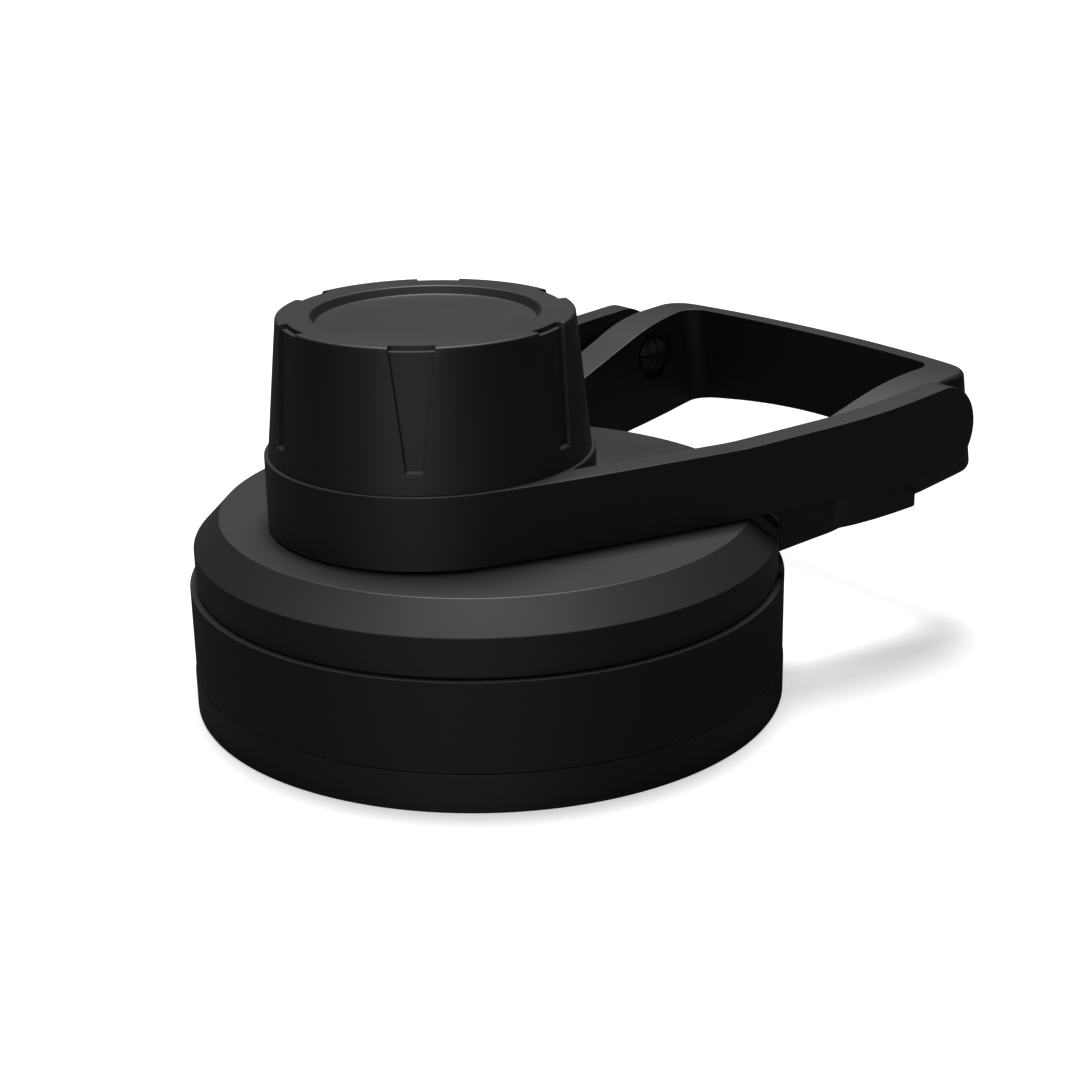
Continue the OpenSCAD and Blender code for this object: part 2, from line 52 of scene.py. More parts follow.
LID_R, LID_H, BAND_SEAT_R, SHELL_IN_R = 32.3, 21.5, 31.6, 30.3
BEVEL_IN, BEVEL_DROP, RAISED_IN, RAISED_DROP = 2.9, 3.05, 1.7, 2
SHELL_T, HAUNCH_IN, HAUNCH_DROP = 1.9, 2.55, 3.75
RIM_H, BAND_R, BAND_TOP, LINER_R, NECK_R = 4.3, 33, 14.15, 30.2, 28.4
GASKET_R, GASKET_Z, GASKET_TOP = 27.9, 12.9, 14.6
RIM_END_X, RIM_END_Y, RIM_END_SLOPE = 16.8, 23.9, math.radians(17.4)
SPOUT_X, SPOUT_R, SPOUT_BORE, SPOUT_TOP = -7.4, 12.8, 10.9, 36.25
BOTTLE_PITCH, SPOUT_PITCH = 3.6, 3.2
RING_R, RING_LOW, RING_TOP, RING_BORE = 17.75, 21.65, 29.55, 15.35
RING_RECESS_R, RING_RECESS_Z = 16.6, 23.45
CAP_LOW, CAP_TOP, CAP_BASE_R, CAP_TOP_R = 29.65, 44.25, 17.3, 15.75
SLEEVE_R, SLEEVE_OUT_R, SLEEVE_TOP, SLEEVE_LOW = 13.75, 15.05, 39.75, 21.95
ARM_T, ARM_OUT_Y, ARM_END_R, ARM_PARALLEL_X = 3.05, 28.25, 5.1, 39.2
ARM_ROOT_R, ARM_ROOT_TURN, ARM_BEND_R = 193, math.radians(4.8), 52.6
PIVOT = Vector((44.1, 0, 26.5))
PIN_R, PIN_BARB_R, PIN_SLOT, PIN_RECESS_R = 2, 2.3, 0.25, 3.25
LOOP_TOP, SWOOSH_R, SWOOSH_X, SWOOSH_SLOPE = 31.45, 36.4, 51.6, math.radians(19.3)
LOOP_START_X, LOOP_PARALLEL_X, LOOP_REACH, LOOP_T = 13, 43, 55.2, 2.6
LOOP_HALF_W, LOOP_IN_Y, LOOP_OUT_BOW, LOOP_IN_BOW = 24.9, 19.4, 132, 150
LOOP_OUT_FLARE, LOOP_IN_FLARE, LEAN = math.radians(8.39), math.radians(6), math.radians(9.5)
LOW_DROP, LOW_SLOPE = 8.6, math.radians(6.2)
ROOT_DROP, ROOT_DROP_X, ROOT_DROP_RUN = 0.45, 35.5, 4
ARCH_HALF_W, ARCH_H = 19, 1.3


# Mesh helpers


def limited(value):
    """The value, kept from 0 to 1."""
    return min(max(value, 0), 1)


def smooth(value):
    """Smooth step from 0 to 1."""
    t = limited(value)
    return t * t * (3 - 2 * t)


def rounded(points, steps=4, closed=True):
    """Outline whose corners, given as (point, radius), are rounded where the radius isn't 0."""
    result = []
    for i, (b, r) in enumerate(points):
        b = Vector(b)
        if not r or (not closed and i in (0, len(points) - 1)):
            result.append(b)
            continue
        u = (Vector(points[i - 1][0]) - b).normalized()
        v = (Vector(points[(i + 1) % len(points)][0]) - b).normalized()
        half = u.angle(v) / 2
        centre = b + (u + v).normalized() * r / math.sin(half)
        start = b + u * r / math.tan(half) - centre
        end = b + v * r / math.tan(half) - centre
        turn = math.pi - 2 * half
        for k in range(steps + 1):
            t = k / steps
            a, c = math.sin((1 - t) * turn) / math.sin(turn), math.sin(t * turn) / math.sin(turn)
            result.append(centre + start * a + end * c)
    return result


def placed(name, mesh, clean=True):
    """Object in the scene from a bmesh, which is used up. Cleaning closes seams and turns faces out."""
    if clean:
        bmesh.ops.remove_doubles(mesh, verts=mesh.verts, dist=2e-7)
        bmesh.ops.recalc_face_normals(mesh, faces=mesh.faces)
    data = bpy.data.meshes.new(name)
    mesh.to_mesh(data)
    mesh.free()
    o = bpy.data.objects.new(name, data)
    bpy.context.scene.collection.objects.link(o)
    return o


def solid(name, rows, wrap=False, caps=False):
    """Object with a skin through rows of points. Each row's last point closes it on its first."""
    n = len(rows[0])
    mesh = bmesh.new()
    verts = [[mesh.verts.new(Vector(p) * MM) for p in row] for row in rows]
    for i in range(len(rows) if wrap else len(rows) - 1):
        a, b = verts[i], verts[(i + 1) % len(rows)]
        for k in range(n - 1):
            mesh.faces.new((a[k], a[k + 1], b[k + 1], b[k]))
    if caps:
        mesh.faces.new(verts[0][:-1])
        mesh.faces.new(verts[-1][:-1])
    return placed(name, mesh)


def spin(name, rows, count=192, base=None, axis=None):
    """Solid of revolution. A row is (radius, height, centre_x), or a function of the angle giving these."""
    grid = []
    for row in rows:
        line = []
        for k in range(count + 1):
            angle = TURN * k / count
            r, z, x = row(angle) if callable(row) else row
            line.append(Vector((x + r * math.cos(angle), r * math.sin(angle), z)))
        grid.append(line)
    o = solid(name, grid, wrap=True)
    if base is not None:
        turn = Vector((0, 0, 1)).rotation_difference(Vector(axis)).to_matrix().to_4x4()
        o.data.transform(Matrix.Translation(Vector(base) * MM) @ turn)
    return o


def ring_rows(points, x=0, steps=4):
    """Rows for spin() from a closed half section of (radius, height, rounding)."""
    return [(p[0], p[1], x) for p in rounded([((r, z), f) for r, z, f in points], steps)]


def thread_rows(r, x, low, high, pitch, depth, shape, fade=1.2):
    """Rows of a right-handed thread cut or raised by depth, which runs out at both ends."""
    rows = []
    for n in range(-1, math.ceil((high - low) / pitch) + 1):
        for share, height in shape:
            def row(angle, n=n, share=share, height=height):
                z = min(max(low + (n + share + angle / TURN) * pitch, low), high)
                return r + depth * height * smooth(min(z - low, high - z) / fade), z, x
            rows.append(row)
    return rows


def combine(target, others, operation):
    """The target after exact booleans with other objects, which are used up."""
    for other in others:
        m = target.modifiers.new("cut", "BOOLEAN")
        m.operation = operation
        m.solver = "EXACT"
        m.object = other
    view = bpy.context.evaluated_depsgraph_get()
    data = bpy.data.meshes.new_from_object(target.evaluated_get(view))
    target.modifiers.clear()
    target.data = data
    for other in others:
        bpy.data.objects.remove(other)
    return target


def joined(name, parts):
    """One object from several meshes."""
    mesh = bmesh.new()
    for part in parts:
        mesh.from_mesh(part.data)
        bpy.data.objects.remove(part)
    return placed(name, mesh, clean=False)


def finished(o, node, body, look):
    """Shading, material and bookkeeping of a piece that stands for a CAD node."""
    o.data.materials.clear()
    o.data.materials.append(look)
    o.data.shade_smooth()
    o.data.set_sharp_from_angle(angle=math.radians(34))
    m = o.modifiers.new("normals", "WEIGHTED_NORMAL")
    m.keep_sharp = True
    m.weight = 100
    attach(o, body)
    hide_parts(node)


# Materials


def lin(grey):
    """Linear value of an sRGB grey from 0 to 255."""
    c = grey / 255
    return c / 12.92 if c <= 0.04045 else ((c + 0.055) / 1.055) ** 2.4


def material(name):
    m = bpy.data.materials.new(name)
    m.use_nodes = True
    m.node_tree.nodes.clear()
    return m


def moulded(name, colour, roughness, grain, grain_scale, level):
    """Moulded surface with a fine eroded grain and slightly uneven colour and gloss."""
    m = material(name)
    nodes, links = m.node_tree.nodes, m.node_tree.links
    out = nodes.new("ShaderNodeOutputMaterial")
    shader = nodes.new("ShaderNodeBsdfPrincipled")
    links.new(shader.outputs["BSDF"], out.inputs["Surface"])
    place = nodes.new("ShaderNodeTexCoord")

    def noise(scale, detail):
        node = nodes.new("ShaderNodeTexNoise")
        node.inputs["Scale"].default_value = scale
        node.inputs["Detail"].default_value = detail
        links.new(place.outputs["Object"], node.inputs["Vector"])
        return node

    fine = noise(grain_scale, 3)
    cloud = noise(60, 4)
    bump = nodes.new("ShaderNodeBump")
    bump.inputs["Strength"].default_value = grain
    bump.inputs["Distance"].default_value = 0.00002
    links.new(fine.outputs["Fac"], bump.inputs["Height"])
    links.new(bump.outputs["Normal"], shader.inputs["Normal"])
    rough = nodes.new("ShaderNodeMapRange")
    rough.inputs["From Min"].default_value = 0.3
    rough.inputs["From Max"].default_value = 0.7
    rough.inputs["To Min"].default_value = roughness - 0.03
    rough.inputs["To Max"].default_value = roughness + 0.03
    links.new(cloud.outputs["Fac"], rough.inputs["Value"])
    links.new(rough.outputs["Result"], shader.inputs["Roughness"])
    tint = nodes.new("ShaderNodeValToRGB")
    tint.color_ramp.elements[0].position = 0.3
    tint.color_ramp.elements[1].position = 0.7
    tint.color_ramp.elements[0].color = (*[c * 0.94 for c in colour], 1)
    tint.color_ramp.elements[1].color = (*[c * 1.06 for c in colour], 1)
    links.new(cloud.outputs["Fac"], tint.inputs["Fac"])
    links.new(tint.outputs["Color"], shader.inputs["Base Color"])
    shader.inputs["Specular IOR Level"].default_value = level
    return m


black = moulded("black_plastic", (lin(22), lin(22), lin(22)), 0.54, 0.15, 9000, 0.5)
band_rubber = moulded("band_rubber", (lin(20), lin(25), lin(24)), 0.62, 0.3, 7000, 0.4)
silicone = moulded("gasket_silicone", (lin(76), lin(79), lin(78)), 0.45, 0.08, 9000, 0.5)


# Lid shell: the cup, the raised rim between the loop's side bars, and the loop


def rim_end(r):
    """Angle at which the raised rim ends, on a circle about the lid's axis."""
    slope = math.tan(RIM_END_SLOPE)
    start = RIM_END_Y - slope * RIM_END_X
    a, b, c = 1 + slope * slope, 2 * start * slope, start * start - r * r
    x = (-b + math.sqrt(b * b - 4 * a * c)) / (2 * a)
    return math.atan2(start + slope * x, x)


def cup_section(top_z, top_r, rounding):
    """Half section of the cup, with the outer edge of its flat top at top_r."""
    seat_top = BAND_TOP + 0.05
    return ring_rows([
        (SHELL_IN_R, RIM_H, 0), (BAND_SEAT_R, RIM_H, 0), (BAND_SEAT_R, seat_top, 0), (LID_R, seat_top, 0.2),
        (LID_R, top_z, rounding), (top_r, LID_H, rounding), (27, LID_H, 0),
    ])


def lid_cup():
    """Cup with the higher section of the raised rim between the loop's side bars."""
    bevelled = cup_section(LID_H - BEVEL_DROP, LID_R - BEVEL_IN, 0.2)
    raised = cup_section(LID_H - RAISED_DROP, LID_R - RAISED_IN, 0.2)
    hole = SPOUT_R + 0.1
    inner = [
        (hole + 0.25, LID_H, SPOUT_X), (hole + 0.07, LID_H - 0.07, SPOUT_X), (hole, LID_H - 0.25, SPOUT_X),
        (hole, LID_H - SHELL_T, SPOUT_X), (SHELL_IN_R - HAUNCH_IN, LID_H - SHELL_T, 0),
        (SHELL_IN_R, LID_H - HAUNCH_DROP, 0),
    ]
    rim_count, plain_count, hole_end = 80, 128, math.radians(55)
    grid = []
    for low, high in list(zip(bevelled, raised)) + [(p, p) for p in inner]:
        line = []
        end = rim_end(high[0]) if high[0] > 26 else hole_end
        for k in range(rim_count + 1):
            angle = end * (2 * k / rim_count - 1)
            line.append(Vector((high[2] + high[0] * math.cos(angle), high[0] * math.sin(angle), high[1])))
        end = rim_end(low[0]) if low[0] > 26 else hole_end
        for k in range(plain_count + 1):
            angle = end + (TURN - 2 * end) * k / plain_count
            line.append(Vector((low[2] + low[0] * math.cos(angle), low[0] * math.sin(angle), low[1])))
        grid.append(line + [line[0].copy()])
    return solid("cup", grid, wrap=True)


def low_z(x, drop=LOW_DROP):
    """Height of the loop's sloping lower edge."""
    return PIVOT.z - drop + math.tan(LOW_SLOPE) * (x - PIVOT.x)


def loop_edge(x, y, low):
    """Point on the loop's upper or lower edge, from its place in the loop's own leaning plane."""
    start_x = SWOOSH_X - SWOOSH_R * math.sin(SWOOSH_SLOPE)
    z = PIVOT.z
    for _ in range(12):
        world_x = PIVOT.x + (x - PIVOT.x) / math.cos(LEAN) - (z - PIVOT.z) * math.tan(LEAN)
        if low:
            z = low_z(world_x) - ROOT_DROP * limited((ROOT_DROP_X - world_x) / ROOT_DROP_RUN)
            arch_r = (ARCH_HALF_W ** 2 + ARCH_H ** 2) / (2 * ARCH_H)
            if abs(y) < ARCH_HALF_W:
                z += math.sqrt(arch_r * arch_r - y * y) - arch_r + ARCH_H
        elif world_x >= SWOOSH_X:
            z = LOOP_TOP
        elif world_x >= start_x:
            z = LOOP_TOP - SWOOSH_R + math.sqrt(SWOOSH_R ** 2 - (world_x - SWOOSH_X) ** 2)
        else:
            start_z = LOOP_TOP - SWOOSH_R * (1 - math.cos(SWOOSH_SLOPE))
            z = start_z - math.tan(SWOOSH_SLOPE) * (start_x - world_x)
    return Vector((world_x, y, z))


def outer_y(x):
    """Distance of the loop's outer face from the middle, which flares up to where it runs parallel."""
    t = x - LOOP_PARALLEL_X
    return LOOP_HALF_W + math.tan(LOOP_OUT_FLARE) * (t - math.sqrt(t * t + 1)) / 2


def inner_y(x):
    """Distance of the loop's inner side face from the middle."""
    return LOOP_IN_Y + math.tan(LOOP_IN_FLARE) * (x - PIVOT.x)


def bow(reach, r, y):
    """Place of the far bar's bowed face at a distance from the middle."""
    return reach - r + math.sqrt(r * r - y * y)


def loop_stations():
    """Pairs of outer and inner points in plan, from the loop's root to the middle of its far bar."""
    reach = PIVOT.x + (LOOP_REACH - PIVOT.x) * math.cos(LEAN) + (LOOP_TOP - PIVOT.z) * math.sin(LEAN)

    def out_x(y):
        return bow(reach, LOOP_OUT_BOW, y)

    def in_x(y):
        return bow(reach - LOOP_T, LOOP_IN_BOW, y)

    def corner(start, middle, end, r):
        return rounded([(start, 0), (middle, r), (end, 0)], 14, closed=False)[1:-1]

    out_y, out_end = LOOP_HALF_W, 16.5
    in_y = inner_y(in_x(LOOP_IN_Y))
    in_end = in_y - 4.4
    outer = corner((LOOP_PARALLEL_X, out_y), (out_x(out_y), out_y), (out_x(out_end), out_end), 3.2)
    inner = corner((PIVOT.x, inner_y(PIVOT.x)), (in_x(in_y), in_y), (in_x(in_end), in_end), 2.2)
    pairs = []
    for k in range(64):
        t = k / 64
        a, b = (LOOP_START_X + (side[0][0] - LOOP_START_X) * t for side in (outer, inner))
        pairs.append(((a, outer_y(a)), (b, inner_y(b))))
    pairs += list(zip(outer, inner))
    for k in range(1, 33):
        a, b = (side[-1][1] * (1 - k / 32) for side in (outer, inner))
        pairs.append(((out_x(a), a), (in_x(b), b)))
    return pairs


def carry_loop():
    """Loop as a skin through its stations, whose edges get softer toward the far bar."""
    half = loop_stations()
    stations = half + [((a[0], -a[1]), (b[0], -b[1])) for a, b in reversed(half[:-1])]
    rows = []
    for outer, inner in stations:
        soft, low_soft = smooth((outer[0] - 45) / 5), smooth((outer[0] - 40) / 3)
        section = rounded([
            (loop_edge(*outer, True), 0.25 + 0.85 * low_soft), (loop_edge(*outer, False), 0.3 + 0.5 * soft),
            (loop_edge(*inner, False), EDGE_R), (loop_edge(*inner, True), EDGE_R + 0.23 * soft),
        ], 6)
        rows.append(section + [section[0].copy()])
    return solid("loop", rows, caps=True)


def arm_rest(side):
    """Rest that stands out of the loop's side bar under an arm, and is cut round the arm's end."""
    root_x, flat_top, relief_r = 31.6, 21.1, 7.3
    curve = (root_x, outer_y(root_x) - 0.2), (35, 25), (41.9, 26.1)
    rows = []
    for k in range(25):
        t = k / 24
        x, y = ((1 - t) ** 2 * a + 2 * t * (1 - t) * b + t * t * c for a, b, c in zip(*curve))
        inside = min(y - 0.9, outer_y(x) - 2)
        low = low_z(x, LOW_DROP + 0.15)
        top = flat_top
        if x > PIVOT.x - relief_r:
            top = min(top, PIVOT.z - math.sqrt(relief_r ** 2 - (x - PIVOT.x) ** 2))
        section = rounded([
            (Vector((x, side * y, low)), 0.25), (Vector((x, side * y, top)), 0.2),
            (Vector((x, side * inside, top)), 0), (Vector((x, side * inside, low)), 0),
        ], 3)
        rows.append(section + [section[0].copy()])
    return solid("rest", rows, caps=True)


def pin_hole(side):
    """Cutter for one pin hole, with its recess on the loop's inner side."""
    hole_r, near_y, floor_y, far_y = PIN_R + 0.05, 17, 20.5, 27
    points = [
        (0, near_y, 0), (PIN_RECESS_R, near_y, 0), (PIN_RECESS_R, floor_y, 0), (hole_r, floor_y, 0),
        (hole_r, far_y, 0), (0, far_y, 0),
    ]
    return spin("hole", points, 96, base=(PIVOT.x, 0, PIVOT.z), axis=(0, side, 0))


def lid_shell():
    """Cup, loop and rests, with the loop's ends cut back to the inside of the cup."""
    hollow = spin("hollow", [
        (0, RIM_H, 0), (SHELL_IN_R, RIM_H, 0), (SHELL_IN_R, LID_H - HAUNCH_DROP, 0),
        (SHELL_IN_R - HAUNCH_IN, LID_H - SHELL_T, 0), (0, LID_H - SHELL_T, 0),
    ], 96)
    loop = combine(carry_loop(), [hollow, pin_hole(1), pin_hole(-1)], "DIFFERENCE")
    return joined("lid_shell_moulding", [lid_cup(), loop, arm_rest(1), arm_rest(-1)])


# Threaded liner with the spout, the grip band and the gaskets

# Thread profiles, as (share of the pitch, share of the depth)
RIDGE = [(0, 0), (0.34, 0), (0.5, 1), (0.6, 1), (0.76, 0)]
GROOVE = [(0, 0), (0.28, 0), (0.42, 1), (0.86, 1)]


def lid_liner():
    """Sleeve with the bottle thread, and its ceiling with the threaded spout."""
    rim_r, neck_thread_low, ceiling_top = 33.1, 1.4, 16.4
    spout_thread_low, spout_thread_top = LID_H + 1.35, SPOUT_TOP - 1.2
    rows = [(p[0], p[1], 0) for p in rounded([
        ((LINER_R, RIM_H), 0), ((rim_r, RIM_H), 0.1), ((rim_r, 0), 0.25), ((NECK_R, 0), 0.5),
        ((NECK_R, neck_thread_low), 0),
    ], 4, closed=False)]
    rows += thread_rows(NECK_R, 0, neck_thread_low, GASKET_Z - 0.5, BOTTLE_PITCH, -1.1, RIDGE, 2)
    rows += [(NECK_R, GASKET_Z, 0), (GASKET_R, GASKET_Z, 0), (GASKET_R, GASKET_TOP, 0)]
    lip = [(p[0], p[1], SPOUT_X) for p in rounded([
        ((SPOUT_BORE + 1.5, GASKET_TOP), 0), ((SPOUT_BORE, GASKET_TOP), 0.5), ((SPOUT_BORE, SPOUT_TOP), 0.6),
        ((SPOUT_R, SPOUT_TOP), 0.63), ((SPOUT_R, spout_thread_top), 0),
    ], 6, closed=False)]
    rows += lip[1:]
    thread = thread_rows(SPOUT_R, SPOUT_X, spout_thread_low, spout_thread_top, SPOUT_PITCH, -0.55, GROOVE)
    rows += reversed(thread)
    rows += [(SPOUT_R, ceiling_top, SPOUT_X), (LINER_R, ceiling_top, 0)]
    return spin("lid_liner_moulding", rows, 160)


def seal(name, out_r, in_r, low, high, x):
    """Sealing ring with rounded edges."""
    soft = 0.3
    points = [(in_r, low, soft), (out_r, low, soft), (out_r, high, soft), (in_r, high, soft)]
    return spin(name, ring_rows(points, x, 5), 144)


# Yoke: ring, arms and split snap pins


def arm_curve(x):
    """Outer face of an arm seen from above, and its slope, at a distance from the lid's axis."""
    root = math.atan2(ARM_OUT_Y - RING_R, ARM_PARALLEL_X - SPOUT_X) + ARM_ROOT_TURN
    reach = ARM_ROOT_R - RING_R
    centre = Vector((SPOUT_X + reach * math.sin(root), -reach * math.cos(root)))
    end_centre = Vector((ARM_PARALLEL_X, ARM_OUT_Y - ARM_BEND_R))
    span = end_centre - centre
    angle = math.atan2(span.y, span.x) + math.acos((ARM_ROOT_R - ARM_BEND_R) / span.length) - math.pi / 2
    first = centre.x - ARM_ROOT_R * math.sin(angle)
    last = end_centre.x - ARM_BEND_R * math.sin(angle)
    if x < first:
        a = math.asin((centre.x - x) / ARM_ROOT_R)
        return centre.y + ARM_ROOT_R * math.cos(a), a
    if x < last:
        return centre.y + ARM_ROOT_R * math.cos(angle) + math.tan(angle) * (x - first), angle
    if x < ARM_PARALLEL_X:
        a = math.asin((end_centre.x - x) / ARM_BEND_R)
        return end_centre.y + ARM_BEND_R * math.cos(a), a
    return ARM_OUT_Y, 0


def arm_sides():
    """Stations along an arm: upper and lower edge as (x, z, normal), which meet at the round end's tip."""
    centre = (PIVOT.x, PIVOT.z)

    def tangent(point, side):
        d = Vector((point[0] - centre[0], point[1] - centre[1]))
        a = math.atan2(d.y, d.x) - side * math.acos(ARM_END_R / d.length)
        return centre[0] + ARM_END_R * math.cos(a), centre[1] + ARM_END_R * math.sin(a)

    def line(points):
        """Height and slope of one edge, from points whose corners are rounded."""
        path = rounded([(p, 40) for p in points], 8, closed=False)

        def at(x):
            for p, q in zip(path, path[1:]):
                if x <= q[0]:
                    t = (x - p[0]) / (q[0] - p[0])
                    return p[1] + (q[1] - p[1]) * t, math.atan2(q[1] - p[1], q[0] - p[0])
        return at

    before_x, level_end_x, root_x = -30, 16, -12.7
    rise, bend = (level_end_x, RING_TOP), (29, RING_LOW + 0.45)
    top = line([(before_x, RING_TOP), rise, tangent(rise, 1)])
    low = line([(before_x, RING_LOW), (level_end_x, RING_LOW), bend, tangent(bend, -1)])
    first, last = SPOUT_X - RING_R * math.sin(arm_curve(root_x)[1]), 43.7
    pairs = []
    for k in range(91):
        x = first + (last - first) * k / 90
        (tz, ta), (lz, la) = top(x), low(x)
        pairs.append(((x, tz, (-math.sin(ta), math.cos(ta))), (x, lz, (math.sin(la), -math.cos(la)))))
    for k in range(25):
        a = math.pi / 2 * (1 - k / 24)
        c, s = math.cos(a), math.sin(a)
        x, up = centre[0] + ARM_END_R * c, ARM_END_R * s
        pairs.append(((x, centre[1] + up, (c, s)), (x, centre[1] - up, (c, -s))))
    return pairs


def arm(side):
    """Arm with rounded edges, bent along its curve in plan."""
    pairs = arm_sides()
    layers = []
    for k in range(5):
        a = math.pi / 2 * k / 4
        layers.append((EDGE_R * (1 - math.sin(a)), EDGE_R * (1 - math.cos(a))))
    layers += [(inset, ARM_T - depth) for inset, depth in reversed(layers)]
    mesh = bmesh.new()
    grids = []
    for inset, depth in layers:
        upper, lower = [], []
        for station in pairs:
            for (x, z, normal), line in zip(station, (upper, lower)):
                y, a = arm_curve(x)
                px = x - normal[0] * inset + depth * math.sin(a)
                py = side * (y - depth * math.cos(a))
                line.append(mesh.verts.new(Vector((px, py, z - normal[1] * inset)) * MM))
        grids.append((upper, lower))
    n = len(pairs)
    for upper, lower in (grids[0], grids[-1]):
        for i in range(n - 1):
            mesh.faces.new((upper[i], upper[i + 1], lower[i + 1], lower[i]))
    for (ua, la), (ub, lb) in zip(grids, grids[1:]):
        for a, b in ((ua, ub), (la, lb)):
            for i in range(n - 1):
                mesh.faces.new((a[i], a[i + 1], b[i + 1], b[i]))
    mesh.faces.new([g[0][0] for g in grids] + [g[1][0] for g in reversed(grids)])
    return placed("arm", mesh)


def block(low, high):
    """Box-shaped cutter between two corners."""
    (a, b, c), (d, e, f) = low, high
    rows = [[(a, b, z), (d, b, z), (d, e, z), (a, e, z), (a, b, z)] for z in (c, f)]
    return solid("block", rows, caps=True)


def snap_pin(side):
    """Pin with a domed barb, split crosswise from its tip."""
    tip_y, barb_y, end_y, dome_h = 18.95, 20.2, 25.6, 0.85
    dome_r = (PIN_BARB_R ** 2 + dome_h ** 2) / (2 * dome_h)
    rows = []
    for k in range(9):
        a = math.asin(PIN_BARB_R / dome_r) * k / 8
        rows.append((dome_r * math.sin(a), tip_y + dome_r * (1 - math.cos(a)), 0))
    rows += [
        (PIN_BARB_R, barb_y - 0.1, 0), (PIN_BARB_R - 0.1, barb_y, 0), (PIN_R, barb_y, 0),
        (PIN_R, end_y, 0), (0, end_y, 0),
    ]
    pin = spin("pin", rows, 96, base=(PIVOT.x, 0, PIVOT.z), axis=(0, side, 0))
    slot_start_y, slot_end_y = 18, 23.15
    ys = sorted((side * slot_start_y, side * slot_end_y))
    half, past = PIN_SLOT / 2, 3
    slots = [
        block((PIVOT.x - half, ys[0], PIVOT.z - past), (PIVOT.x + half, ys[1], PIVOT.z + past)),
        block((PIVOT.x - past, ys[0], PIVOT.z - half), (PIVOT.x + past, ys[1], PIVOT.z + half)),
    ]
    return combine(pin, slots, "DIFFERENCE")


def yoke():
    """Ring, arms and pins in one moulding, with a small flare at the top of the ring's bore."""
    below, above, flare = RING_LOW - 1.65, RING_TOP + 1.45, 0.15
    disc = [(0, RING_LOW, 0), (RING_R, RING_LOW, EDGE_R), (RING_R, RING_TOP, EDGE_R), (0, RING_TOP, 0)]
    ring = spin("ring", ring_rows(disc, SPOUT_X))
    rows = [(0, below), (RING_RECESS_R, below), (RING_RECESS_R, RING_RECESS_Z), (RING_BORE, RING_RECESS_Z)]
    for a in (0, 0.4, 0.8, 1.2, math.pi / 2):
        rows.append((RING_BORE + flare * (1 - math.cos(a)), RING_TOP - flare * (1 - math.sin(a))))
    rows += [(RING_BORE + flare, above), (0, above)]
    bore = spin("bore", [(r, z, SPOUT_X) for r, z in rows])
    combine(ring, [arm(1), arm(-1)], "UNION")
    combine(ring, [bore], "DIFFERENCE")
    return joined("yoke_moulding", [ring, snap_pin(1), snap_pin(-1)])


# Spout cap

NOTCHES, FIRST_NOTCH, NOTCH_DEPTH, NOTCH_STEP, NOTCH_EDGE = 6, 47.5, 0.5, 0.5, 0.1
NOTCH_FOOT = CAP_LOW + 2.2
NOTCH_FOOT_HALF_W, NOTCH_TOP_HALF_W = 0.85, 2.35
SEAM_Z = RING_TOP + 0.02
DISH_FLOOR, CAVITY_R, CAVITY_TOP = CAP_TOP - 0.92, 15.15, 41.55


def cone_r(z):
    """Radius of the cap's side, which is a cone."""
    return CAP_BASE_R - (CAP_BASE_R - CAP_TOP_R) * (z - CAP_LOW) / (CAP_TOP - CAP_LOW)


def cap_rows():
    """Rows of the cap's skin as (radius, height, radius inside a notch)."""
    levels = [SEAM_Z + 0.04, CAP_LOW + 1, NOTCH_FOOT - 0.4]
    rows = [(cone_r(z), z, cone_r(z)) for z in levels]
    for drop, depth in ((NOTCH_EDGE, 0), (0.03, 0.03), (0, NOTCH_EDGE), (-0.12, NOTCH_DEPTH)):
        z = NOTCH_FOOT - drop
        rows.append((cone_r(z), z, cone_r(z) - depth))
    shelf = CAP_TOP - NOTCH_STEP
    for k in range(1, 12):
        z = NOTCH_FOOT + (shelf - 0.15 - NOTCH_FOOT) * k / 11
        rows.append((cone_r(z), z, cone_r(z) - NOTCH_DEPTH))
    for drop, depth in ((0.08, 0), (0.02, 0.02), (0, 0.08), (-0.005, NOTCH_STEP)):
        z = shelf - drop
        rows.append((cone_r(z), z, cone_r(z) - NOTCH_DEPTH - depth))
    arcs = rounded([
        ((cone_r(shelf), shelf), 0), ((CAP_TOP_R, CAP_TOP), 0.25), ((12.1, CAP_TOP), 0.25),
        ((11.65, DISH_FLOOR), 0.2), ((0, DISH_FLOOR), 0),
    ], 6, closed=False)
    for r, z in arcs[1:-1]:
        if z > shelf + 0.006:
            rows.append((r, z, min(r, cone_r(z) - NOTCH_DEPTH - NOTCH_STEP) if r > 13 else r))
        elif r < 13:
            rows.append((r, z, r))
    for r, z in (
        (4, DISH_FLOOR), (0, DISH_FLOOR), (0, CAVITY_TOP), (SLEEVE_R, CAVITY_TOP), (SLEEVE_R, SLEEVE_TOP),
        (CAVITY_R, SLEEVE_TOP), (CAVITY_R, SEAM_Z), (cone_r(SEAM_Z) - 0.04, SEAM_Z),
    ):
        rows.append((r, z, r))
    return rows


